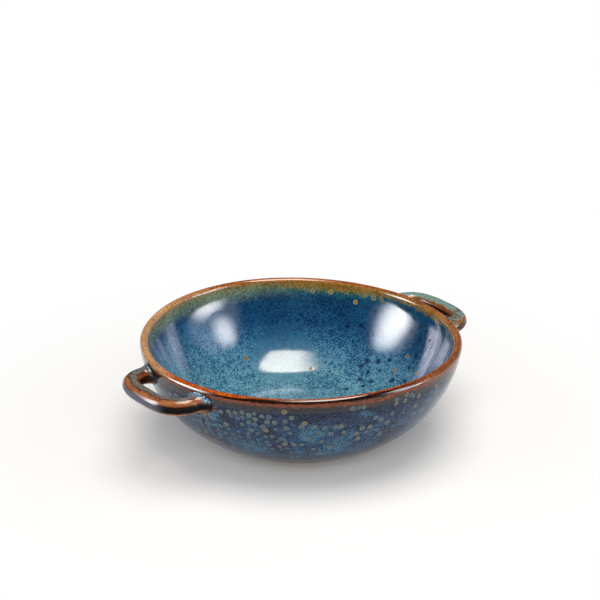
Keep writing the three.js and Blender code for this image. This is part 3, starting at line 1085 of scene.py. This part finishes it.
@dataclass
class Handle:
    """One loop handle: its clay, its sleeve of glaze and the pads of slip at its roots."""

    name: str
    turn: float
    form: BowlForm
    finish: HandleGlaze
    span: float = 47.6
    reach: float = 15.0
    drop: float = 9.2
    wide: float = 9.8
    tall: float = 9.4
    squareness: float = 3.1
    flare: float = 3.2
    rise: float = 1.4
    root_length: float = 6.0
    coat: float = 0.6
    gap: float = 0.3
    sleeve_end: float = -0.05
    clay_end: float = 1.0
    clay_flare: float = 0.3
    pad_inset: float = 0.4
    pad_back: float = 0.02
    pad_edge: float = 0.05
    pad_swell: float = 0.75
    pad_steps: int = 32
    pad_rings: int = 7
    loop_steps: int = 120
    fine_steps: int = 4000
    nudge: float = 1e-4
    root_steps: int = 14
    section_steps: int = 40
    flank_top: float = 0.3
    flank_ior: float = 1.18

    def __post_init__(self) -> None:
        """Finds the height, the tip and the roots of the handle."""
        self.height = self.form.rim_height - self.drop
        self.leg = self.span / 2
        self.root = self.form.wall_place(self.leg, self.height)
        self.extent = self.form.rim_radius + self.reach - self.root

    def middle(self, angle: float) -> np.ndarray:
        """Finds a point of the middle line of the loop.

        Args:
            angle: From -90 degrees at one root to 90 at the other, in radians.

        Returns:
            The point.
        """
        power = 2 / self.squareness
        x = self.root + self.extent * abs(math.cos(angle)) ** power
        y = self.leg * math.copysign(abs(math.sin(angle)) ** power, angle)
        return np.array([x, y, self.height])

    def rings(self, depth: float, end: float, flare: float) -> tuple[np.ndarray, dict[str, np.ndarray]]:
        """Lays out the skin of the handle from the wall at one root to the wall at the other.

        Args:
            depth: How far the skin lies under the surface of the glaze.
            end: How far from the wall the skin ends.
            flare: Share of the root's spread that the skin takes.

        Returns:
            The points, ring by ring, and the numbers that the finish reads.
        """
        angles = np.linspace(0, 2 * math.pi, self.section_steps, endpoint=False)
        wide, tall = self.wide / 2 - depth, self.tall / 2 - depth
        loops = []
        for angle in self.even_angles():
            ahead = self.middle(angle + self.nudge) - self.middle(angle - self.nudge)
            ahead /= np.linalg.norm(ahead)
            out = np.array([ahead[1], -ahead[0], 0])
            centre = self.middle(angle)
            loops.append([centre + out * wide * math.cos(a) + (0, 0, tall * math.sin(a)) for a in angles])
        first = self.root_rings(loops[0], Leg.FRONT, angles, end, flare)
        last = self.root_rings(loops[-1], Leg.BACK, angles, end, flare)
        rows = first[::-1] + loops + last
        roots = [self.root_share(step) for step in range(self.root_steps, 0, -1)]
        shares = roots + [0.0] * len(loops) + roots[::-1]
        numbers = {
            UP_SIDE: np.tile(np.sin(angles), len(rows)),
            OUT_SIDE: np.tile(np.cos(angles), len(rows)),
            NEAR_ROOT: np.repeat(shares, self.section_steps),
        }
        return np.array(rows), numbers

    def even_angles(self) -> np.ndarray:
        """Cuts the loop into even lengths between the fillets of its roots.

        Returns:
            The angles of the cuts.
        """
        start = math.acos((self.root_length / self.extent) ** (self.squareness / 2))
        fine = np.linspace(-start, start, self.fine_steps)
        path = np.array([self.middle(angle) for angle in fine])
        length = np.concatenate([[0], np.cumsum(np.linalg.norm(np.diff(path, axis=0), axis=1))])
        return np.interp(np.linspace(0, length[-1], self.loop_steps), length, fine)

    def root_share(self, step: int) -> float:
        """Returns how far a ring of the root's fillet has come to the wall, 0 to 1."""
        return step / self.root_steps

    def root_rings(self, loop: list[np.ndarray], leg: Leg, angles: np.ndarray, end: float,
                   flare: float) -> list[list[np.ndarray]]:
        """Spreads the end of the loop in a fillet that meets the wall flat.

        Args:
            loop: The loop's last ring.
            leg: The leg, on a handle on the right.
            angles: Angles of the ring's points about the middle line.
            end: How far from the wall the last ring lies.
            flare: Share of the root's spread that the rings take.

        Returns:
            The rings, from the loop to the wall.
        """
        rings = []
        for step in range(1, self.root_steps + 1):
            bend = math.pi / 2 * self.root_share(step)
            near, spread = 1 - math.sin(bend), flare * (1 - math.cos(bend))
            ring = []
            for point, angle in zip(loop, angles):
                clear = point[0] - self.form.wall_place(point[1], point[2])
                y = point[1] + leg.value * self.flare * spread * math.cos(angle)
                z = point[2] + self.rise * spread * math.sin(angle)
                ring.append(np.array([self.form.wall_place(y, z) + end + (clear - end) * near, y, z]))
            rings.append(ring)
        return rings

    def placed(self, points: np.ndarray) -> np.ndarray:
        """Returns points of a handle on the right, turned to this handle's side."""
        cos, sin = math.cos(self.turn), math.sin(self.turn)
        return points.reshape(-1, 3) @ np.array([[cos, sin, 0], [-sin, cos, 0], [0, 0, 1]])

    def rows(self, count: int, first: int) -> list[list[int]]:
        """Returns the corner numbers of a number of rings."""
        size = self.section_steps
        return [list(range(first + row * size, first + (row + 1) * size)) for row in range(count)]

    def sleeve(self) -> bpy.types.Object:
        """Builds the sleeve of glaze, hollow for the clay inside it.

        Returns:
            The piece.
        """
        outer, numbers = self.rings(0, self.sleeve_end, 1)
        inner, _ = self.rings(self.coat, self.sleeve_end, 1)
        points = np.concatenate([self.placed(outer), self.placed(inner)])
        rows = self.rows(len(outer), 0) + self.rows(len(inner), len(outer) * self.section_steps)[::-1]
        values = {key: np.concatenate([number, number]) for key, number in numbers.items()}
        return make_piece(self.name + "_sleeve", points, grid_faces(rows, closed=True), values)

    def clay(self) -> bpy.types.Object:
        """Builds the solid loop of clay inside the sleeve.

        Returns:
            The piece.
        """
        skin, _ = self.rings(self.coat + self.gap, self.clay_end, self.clay_flare)
        rows = self.rows(len(skin), 0)
        faces = grid_faces(rows, closed=False)
        points = self.placed(skin)
        for row in (rows[0], rows[-1]):
            faces += [(len(points), row[step], row[(step + 1) % len(row)]) for step in range(len(row))]
            points = np.concatenate([points, points[row].mean(axis=0, keepdims=True)])
        return make_piece(self.name + "_clay", points, faces)

    def slip_pad(self, leg: Leg) -> bpy.types.Object:
        """Builds the pad of slip between one leg and the wall, thin towards its edge.

        Args:
            leg: The leg.

        Returns:
            The piece.
        """
        middle = leg.value * round(math.cos(self.turn)) * self.leg
        angles = np.linspace(0, 2 * math.pi, self.pad_steps, endpoint=False)
        shares = np.linspace(0, 1, self.pad_rings)
        rings = [(share, self.pad_edge + self.pad_swell * (1 - share**2)) for share in shares]
        rings += [(share, self.pad_back) for share in shares[::-1]]
        points, rows = [], []
        for share, lift in rings:
            first = len(points)
            for angle in angles if share else angles[:1]:
                y = middle + share * (self.wide / 2 - self.pad_inset) * math.cos(angle)
                z = self.height + share * (self.tall / 2 - self.pad_inset) * math.sin(angle)
                points.append((self.form.wall_place(y, z) + lift, y, z))
            rows.append(list(range(first, len(points))) if share else [first] * len(angles))
        name = f"{self.name}_slip_pad_{leg.name.lower()}"
        return make_piece(name, self.placed(np.array(points)), grid_faces(rows, closed=False))

    def build(self) -> None:
        """Builds and dresses the handle."""
        sleeve = self.sleeve()
        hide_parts(self.name + "_glaze")
        dress(sleeve, self.finish.material())
        flank = replace(self.finish, name=self.finish.name + "_flank", ior=self.flank_ior)
        dress_part(sleeve, flank.material(), UP_SIDE, self.flank_top)
        clay = self.clay()
        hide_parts(self.name)
        dress(clay, BareClay(self.name + "_stoneware", "bare_clay").material())
        for leg in Leg:
            pad = self.slip_pad(leg)
            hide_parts(f"{self.name}_slip_{leg.name.lower()}")
            slip = BareClay(pad.name + "_finish", "slip", tint(176, 152, 122), tint(150, 124, 96))
            dress(pad, slip.material())


# Millimetres down from the crest of the lip, and degrees about the axis.
FRONT_BEADS = (
    (12.9, -156.3), (11.7, -153.1), (11.7, -150.6), (10.4, -147.9), (11.7, -145.6), (10.4, -143.6),
    (11.7, -140.9), (11.7, -138.3), (7.9, -132.9), (11.7, -130.5), (14.2, -152.4), (15.4, -150.0),
    (14.2, -148.0), (16.7, -145.8), (14.2, -143.4), (15.4, -139.2), (15.4, -136.5), (14.2, -132.8),
    (15.4, -126.0), (21.7, -155.2), (19.2, -148.6), (17.9, -143.7), (19.2, -140.9), (22.9, -145.5),
    (21.7, -139.9), (20.4, -136.1), (19.2, -132.4), (17.9, -127.1), (17.9, -122.3), (19.2, -118.7),
    (19.2, -114.8), (19.2, -112.9), (22.9, -131.2), (24.2, -126.1), (22.9, -120.7), (24.2, -116.3),
    (24.2, -111.3), (28.0, -124.6), (30.5, -119.2), (28.0, -134.6), (33.0, -133.3), (33.0, -129.8),
    (33.0, -126.8), (36.7, -115.6), (38.0, -122.1), (43.0, -119.5), (7.9, -109.3), (7.9, -107.0),
    (7.9, -105.2), (16.7, -100.0), (19.2, -97.2), (22.9, -94.1), (22.9, -101.4), (26.7, -97.7),
    (22.9, -104.4), (26.7, -102.2), (26.7, -106.2), (31.7, -95.5), (31.7, -105.0), (16.7, -93.1),
    (16.7, -82.1), (10.4, -92.2), (10.4, -88.3), (7.9, -92.3), (6.7, -88.1), (9.2, -84.6),
    (10.4, -81.8), (7.9, -86.0), (22.9, -76.6), (22.9, -80.6),
)
INSIDE_BEADS = (
    (8.0, 47.2), (8.0, 39.9), (11.9, 29.1), (7.2, 25.6), (7.2, 21.5), (7.2, 17.8), (33.4, -5.4),
    (44.2, -3.3), (18.0, -13.9), (38.1, -18.4), (56.7, 45.0), (46.6, 81.3),
)
INSIDE_DIMPLES = (
    (14.9, 20.1), (25.0, 24.5), (27.3, 30.8), (28.8, 18.4), (45.4, 15.3), (43.5, 9.3), (40.2, 3.4),
    (49.4, 17.6), (48.3, 5.2), (52.2, 11.4), (58.2, 12.9), (56.7, 5.5), (50.3, -6.7), (38.3, -10.9),
    (27.8, -1.2), (20.6, -7.5), (19.5, -1.3), (13.4, -5.1), (14.9, -9.4), (45.9, -15.5), (30.0, -10.5),
    (68.5, 16.0), (61.8, 7.7),
)


@dataclass(frozen=True)
class BeadKind:
    """What a group of beads has in common: the least and greatest radius, the height by radius, the tones."""

    radius: Span
    height: float
    tones: Span


@dataclass(frozen=True)
class BeadRows:
    """Loose slanting rows of beads: the distances along and between rows, their slant and where they lie."""

    step: Span
    slant: float
    runs: Span
    turns: Span
    keep: float
    margin: float = 2.0

    def cluster(self, run: float, turn: float) -> float:
        """Returns how likely a place is to hold a bead; they gather in clusters."""
        gathered = 0.5 + 0.3 * math.sin(3 * turn + run / 9) + 0.25 * math.sin(7 * turn - run / 5 + 1)
        return self.keep * 2 * gathered

    def takes(self, run: float, turn: float) -> bool:
        """Returns whether a place lies within the rows."""
        within = (math.degrees(turn) - self.turns[0]) % 360 < self.turns[1] - self.turns[0]
        return self.runs[0] - self.margin < run < self.runs[1] + self.margin and within


@dataclass
class Beads:
    """Low beads in the glaze, where it broke over coarse grains in the clay."""

    name: str
    form: BowlForm
    side: Side
    finish: ReactiveGlaze
    seed: int
    rings: int = 6
    around: int = 16
    edge_depth: float = 0.015
    back_depth: float = 0.12
    loose: Span = (0.28, 0.3)
    sway: float = 1.6
    fewest: int = 6
    points: list[np.ndarray] = field(default_factory=list)
    faces: Faces = field(default_factory=list)
    numbers: dict[str, list[float]] = field(default_factory=lambda: {RUN: [], RING: [], TONE: []})

    def corner(self, run: float, turn: float, lift: float, ring: float, tone: float) -> int:
        """Adds a corner of a bead.

        Args:
            run: Millimetres down from the crest of the lip.
            turn: Angle about the axis.
            lift: Height above the glaze.
            ring: 0 in the middle of the bead, 1 at its edge.
            tone: Tone of the bead.

        Returns:
            Its number.
        """
        self.points.append(self.form.on_wall(self.side, run, turn, lift))
        for key, number in ((RUN, run * self.side.value), (RING, ring), (TONE, tone)):
            self.numbers[key].append(number)
        return len(self.points) - 1

    def add(self, run: float, turn: float, radius: float, height: float, tone: float) -> None:
        """Adds one bead.

        Args:
            run: Millimetres down from the crest of the lip.
            turn: Angle about the axis.
            radius: Radius of the bead.
            height: How far its middle stands up.
            tone: Its tone.
        """
        rows = []
        home = self.form.on_wall(self.side, run, turn, 0.0)
        round_here = math.hypot(home[0], home[1])
        for ring in range(self.rings + 1):
            share = ring / self.rings
            lift = height * (1 - share**2) ** 2 - self.edge_depth
            row = []
            for step in range(self.around if ring else 1):
                angle = 2 * math.pi * step / self.around
                here_run = run + radius * share * math.sin(angle)
                here_turn = turn + radius * share * math.cos(angle) / round_here
                row.append(self.corner(here_run, here_turn, lift, share, tone))
            rows.append(row if ring else row * self.around)
        rows.append([self.corner(run, turn, -self.back_depth, 1.0, tone)] * self.around)
        self.faces += grid_faces(rows, closed=False)

    def scatter(self, rows: BeadRows, kind: BeadKind) -> None:
        """Adds loose rows of beads round the bowl.

        Args:
            rows: Where they lie.
            kind: What they have in common.
        """
        dice = random.Random(self.seed)
        along, down = self.loose
        row, run = 0, rows.runs[0]
        while run < rows.runs[1]:
            place = self.form.on_wall(self.side, run, 0.0, 0.0)
            around = 2 * math.pi * math.hypot(place[0], place[1])
            count = max(self.fewest, round(around / rows.step[0]))
            for index in range(count):
                shift = dice.uniform(-along, along) * 2 * math.pi / count
                turn = 2 * math.pi * (index + row * rows.slant) / count + shift
                here = run + dice.uniform(-down, down) * rows.step[1] + self.sway * math.sin(5 * turn)
                size = dice.uniform(*kind.radius)
                tone = dice.uniform(*kind.tones)
                if dice.random() < rows.cluster(run, turn) and rows.takes(here, turn):
                    self.add(here, turn, size, kind.height * size, tone)
            row += 1
            run += rows.step[1]

    def group(self, places: Sequence[Span], kind: BeadKind) -> None:
        """Adds beads at given places.

        Args:
            places: Millimetres down from the crest of the lip, and degrees about the axis, of each bead.
            kind: What they have in common.
        """
        dice = random.Random(self.seed)
        for run, turn in places:
            size = dice.uniform(*kind.radius)
            self.add(run, math.radians(turn), size, kind.height * size, dice.uniform(*kind.tones))

    def build(self) -> None:
        """Makes the piece of all the beads and dresses it."""
        values = {key: np.array(numbers) for key, numbers in self.numbers.items()}
        piece = make_piece(self.name, np.array(self.points), self.faces, values)
        dress(piece, self.finish.bead_material())


@dataclass(frozen=True)
class Lamp:
    """A softbox whose light fades towards its edge."""

    name: str
    size: Span  # width and height in metres
    level: float  # brightness of its face, where 1 is white
    soft: float  # share of the face over which its light fades
    seen: Seen
    aside: float = 0.0  # degrees round from the camera, to its right
    centre: Span = (0.0, 0.0)  # metres along its face from that direction, and above the table
    face: Face = Face.ROUND
    colour: Tint | None = None


SIDE_LAMPS = (
    Lamp("softbox_right", (1.5, 1.5), 1.2, 0.4, Seen.ALL, 76, (0.05, 0.56)),
    Lamp("core_right", (0.72, 0.9), 11.5, 0.9, Seen.GLOSS, 76, (-0.05, 0.8)),
    Lamp("core_right_low", (0.95, 0.7), 12.5, 0.85, Seen.GLOSS, 76, (0.05, 0.16)),
    Lamp("softbox_left", (1.4, 1.4), 1.3, 0.4, Seen.ALL, -76, (-0.2, 0.53)),
    Lamp("core_left", (0.95, 1.6), 16.5, 0.75, Seen.GLOSS, -76, (-0.17, 0.45)),
    Lamp("fill_front", (1.7, 1.4), 2.4, 0.4, Seen.COLOUR, 0, (0.0, 0.8)),
)
TOP_LAMPS = (
    Lamp("softbox_top", (1.0, 1.2), 4.0, 0.3, Seen.COLOUR),
    Lamp("core_top", (0.74, 0.88), 13.0, 0.14, Seen.GLOSS, face=Face.BLUNT, colour=(1.08, 0.98, 0.85)),
)
LIGHT_TINTS = {Seen.ALL: (0.93, 0.97, 1.08), Seen.GLOSS: (0.98, 0.99, 1.0), Seen.COLOUR: (1.05, 1.0, 0.92)}


@dataclass
class Studio:
    """The floor, the lamps and the camera."""

    azimuth: float = -37.8
    elevation: float = 25.16
    distance: float = 1.4
    roll: float = 0.5
    focal_pixels: float = 2455.0
    frame_pixels: float = 600.0
    aim_pixels: Span = (300.4, 429.4)
    sensor: float = 36.0
    clip: Span = (0.05, 60.0)
    lamp_distance: float = 1.3
    core_step: float = 0.02
    top_place: tuple[float, float, float] = (0.11, 0.042, 1.15)
    blunt_place: float = 0.37
    blunt_side: float = 0.45
    floor_size: float = 12.0
    floor_tint: Tint = (0.9, 0.9, 0.9)
    floor_lit: float = 0.26
    world_level: float = 0.07

    def direction(self, azimuth: float, elevation: float) -> Vector:
        """Returns the direction from the dish towards a place round it, in degrees as for the views."""
        a, e = math.radians(azimuth), math.radians(elevation)
        return Vector((math.sin(a) * math.cos(e), -math.cos(a) * math.cos(e), math.sin(e)))

    def camera(self) -> None:
        """Sets up the camera where the photographer stood."""
        back = self.direction(self.azimuth, self.elevation)
        right = ABOVE.cross(back).normalized()
        half = self.frame_pixels / 2
        yaw, tilt = (math.atan((aim - half) / self.focal_pixels) for aim in self.aim_pixels)
        turned = Matrix((right, back.cross(right), back)).transposed()
        turned = turned @ Matrix.Rotation(yaw, 3, "Y") @ Matrix.Rotation(tilt, 3, "X")
        turned = turned @ Matrix.Rotation(math.radians(self.roll), 3, "Z")
        data = bpy.data.cameras.new("camera")
        data.sensor_width = self.sensor
        data.lens = self.focal_pixels / self.frame_pixels * self.sensor
        data.clip_start, data.clip_end = self.clip
        camera = bpy.data.objects.new("camera", data)
        camera.matrix_world = Matrix.Translation(back * self.distance) @ turned.to_4x4()
        bpy.context.scene.collection.objects.link(camera)
        bpy.context.scene.camera = camera

    def hang(self, lamp: Lamp, place: Vector, along: Vector, out: Vector) -> None:
        """Hangs a lamp; a core that only the gloss sees hangs in front of its softbox.

        Args:
            lamp: The lamp.
            place: Middle of its face.
            along: Direction of its width.
            out: Direction of its back.
        """
        blunt = lamp.face is Face.BLUNT
        data = bpy.data.lights.new(lamp.name, "AREA")
        data.shape = lamp.face.value
        data.size, data.size_y = lamp.size
        data.energy = 4 * lamp.level * lamp.size[0] * lamp.size[1] * (1 if blunt else math.pi / 4)
        data.color = lamp.colour or LIGHT_TINTS[lamp.seen]
        data.use_nodes = True
        pen = NodePen(data.node_tree)
        across, up = (pen.add("SeparateXYZ", axis, {0: pen.face}) for axis in (0, 1))
        off = self.blunt_face(pen, across, up) if blunt else self.round_face(pen, across, up)
        light = pen.spread(off, 1, 1 - lamp.soft)
        if blunt:
            light = pen.times(light, pen.spread(across, 0, self.blunt_side))
        pen.feed(light, data.node_tree.nodes["Emission"].inputs["Strength"])
        hung = bpy.data.objects.new(lamp.name, data)
        step = self.core_step if lamp.seen is Seen.GLOSS else 0.0
        turned = Matrix((along, out.cross(along), out)).transposed()
        hung.matrix_world = Matrix.Translation(place - out * step) @ turned.to_4x4()
        hung.visible_camera = False
        hung.visible_diffuse = lamp.seen is not Seen.GLOSS
        hung.visible_glossy = lamp.seen is not Seen.COLOUR
        bpy.context.scene.collection.objects.link(hung)

    def round_face(self, pen: NodePen, across: Socket, up: Socket) -> Socket:
        """Measures the face of a round lamp.

        Args:
            pen: Writes the lamp.
            across: Place across the face, 0 to 1.
            up: Place up the face, 0 to 1.

        Returns:
            How far a point lies from the middle, 1 at the edge.
        """
        across, up = pen.plus(across, -0.5), pen.plus(up, -0.5)
        square = pen.plus(pen.times(across, across), pen.times(up, up))
        return pen.times(pen.reckon(Maths.POWER, square, 0.5), 2.0)

    def blunt_face(self, pen: NodePen, across: Socket, up: Socket) -> Socket:
        """Measures the face of a lamp that is blunt at the front end.

        Args:
            pen: Writes the lamp.
            across: Place across the face, 0 to 1.
            up: Place up the face, 0 to 1.

        Returns:
            How far a point lies from the widest place, 1 at the edge.
        """
        side = pen.times(pen.plus(across, -0.5), 2.0)
        off = pen.plus(up, -self.blunt_place)
        far = pen.reckon(Maths.GREATER, pen.times(off, 1 / (1 - self.blunt_place)), 0.0)
        near = pen.reckon(Maths.GREATER, pen.times(off, -1 / self.blunt_place), 0.0)
        back = pen.plus(pen.times(side, side), pen.reckon(Maths.POWER, far, 2.0))
        ends = pen.plus(pen.reckon(Maths.POWER, back, 2.0), pen.reckon(Maths.POWER, near, 4.0))
        return pen.reckon(Maths.POWER, ends, 0.25)

    def lamps(self) -> None:
        """Hangs the softboxes upright round the dish, and over it."""
        for lamp in SIDE_LAMPS:
            out = self.direction(self.azimuth + lamp.aside, 0)
            along = ABOVE.cross(out)
            place = out * self.lamp_distance + along * lamp.centre[0] + ABOVE * lamp.centre[1]
            self.hang(lamp, place, along, out)
        toward = self.direction(self.azimuth, 0)
        right = ABOVE.cross(toward)
        aside, near, high = self.top_place
        for lamp in TOP_LAMPS:
            self.hang(lamp, right * aside + toward * near + ABOVE * high, right, ABOVE)

    def world(self) -> None:
        """Sets a dim, even room round the lamps."""
        world = bpy.data.worlds.new("room")
        world.use_nodes = True
        ground = world.node_tree.nodes["Background"]
        ground.inputs["Color"].default_value = (1, 1, 1, 1)
        ground.inputs["Strength"].default_value = self.world_level
        bpy.context.scene.world = world

    def floor(self) -> None:
        """Lays the white floor, lit near the dish and plain white further off."""
        half = self.floor_size
        mesh = bpy.data.meshes.new("floor")
        corners = [(-half, -half, 0), (half, -half, 0), (half, half, 0), (-half, half, 0)]
        mesh.from_pydata(corners, [], [(0, 1, 2, 3)])
        floor = bpy.data.objects.new("floor", mesh)
        bpy.context.scene.collection.objects.link(floor)
        pen = MaterialPen("white_floor")
        rays = [pen.add("LightPath", f"Is {kind} Ray", {}) for kind in ("Camera", "Glossy", "Transmission")]
        seen = reduce(lambda one, other: pen.reckon(Maths.GREATER, one, other), rays)
        away = pen.add("VectorMath", "Value", {0: pen.place}, operation="LENGTH")
        far = pen.spread(away, 0.0, self.floor_lit)
        lit = pen.add("BsdfDiffuse", 0, {"Color": self.floor_tint})
        white = pen.add("Emission", 0, {})
        pen.feed(pen.add("MixShader", 0, {0: pen.times(seen, far), 1: lit, 2: white}), pen.surface)
        mesh.materials.append(pen.finished)

    def build(self) -> None:
        """Sets up the whole studio."""
        bpy.context.scene.view_settings.view_transform = "Standard"
        self.camera()
        self.lamps()
        self.world()
        self.floor()
        LOG.info("studio: camera, lamps, room and floor")


def main() -> None:
    """Builds the dish and the studio."""
    logging.basicConfig(level=logging.INFO, format="%(name)s: %(message)s")
    Studio().build()
    form = BowlForm()
    Bowl(form).build()
    sage = (tint(66, 104, 122), tint(112, 144, 142), tint(152, 156, 122))
    right = HandleGlaze("sage_glaze_handle", ragged=0.6, blotch=0.85, streak_middle=0.05, streak_width=0.72,
                        streak=sage, outline=tint(126, 94, 56), flank=tint(78, 58, 44))
    Handle("handle_right", 0.0, form, right).build()
    Handle("handle_left", math.pi, form, HandleGlaze("brown_glaze_handle")).build()
    outside = Beads("outside_beads", form, Side.OUTSIDE, OUTSIDE_GLAZE, seed=11)
    outside.scatter(BeadRows(step=(5.6, 4.9), slant=0.36, runs=(9, 50), turns=(-75, 197), keep=0.62),
                    BeadKind(radius=(1.4, 1.9), height=0.08, tones=(0.2, 0.9)))
    outside.group(FRONT_BEADS, BeadKind(radius=(1.55, 2.0), height=0.08, tones=(0.45, 0.95)))
    outside.scatter(BeadRows(step=(4.8, 4.3), slant=0.4, runs=(26, 50), turns=(-172, -128), keep=0.7),
                    BeadKind(radius=(1.3, 1.7), height=0.05, tones=(0.42, 0.64)))
    outside.build()
    inside = Beads("inside_beads", form, Side.INSIDE, INSIDE_GLAZE, seed=5)
    inside.scatter(BeadRows(step=(22, 14), slant=0.4, runs=(9, 60), turns=(170, 300), keep=0.25),
                   BeadKind(radius=(0.9, 1.2), height=0.1, tones=(0.6, 1.0)))
    inside.group(INSIDE_BEADS, BeadKind(radius=(1.7, 2.2), height=0.035, tones=(0.95, 1.25)))
    inside.group(INSIDE_DIMPLES, BeadKind(radius=(2.5, 3.6), height=0.012, tones=(0.0, 0.03)))
    inside.build()


if __name__ == "__main__":
    main()
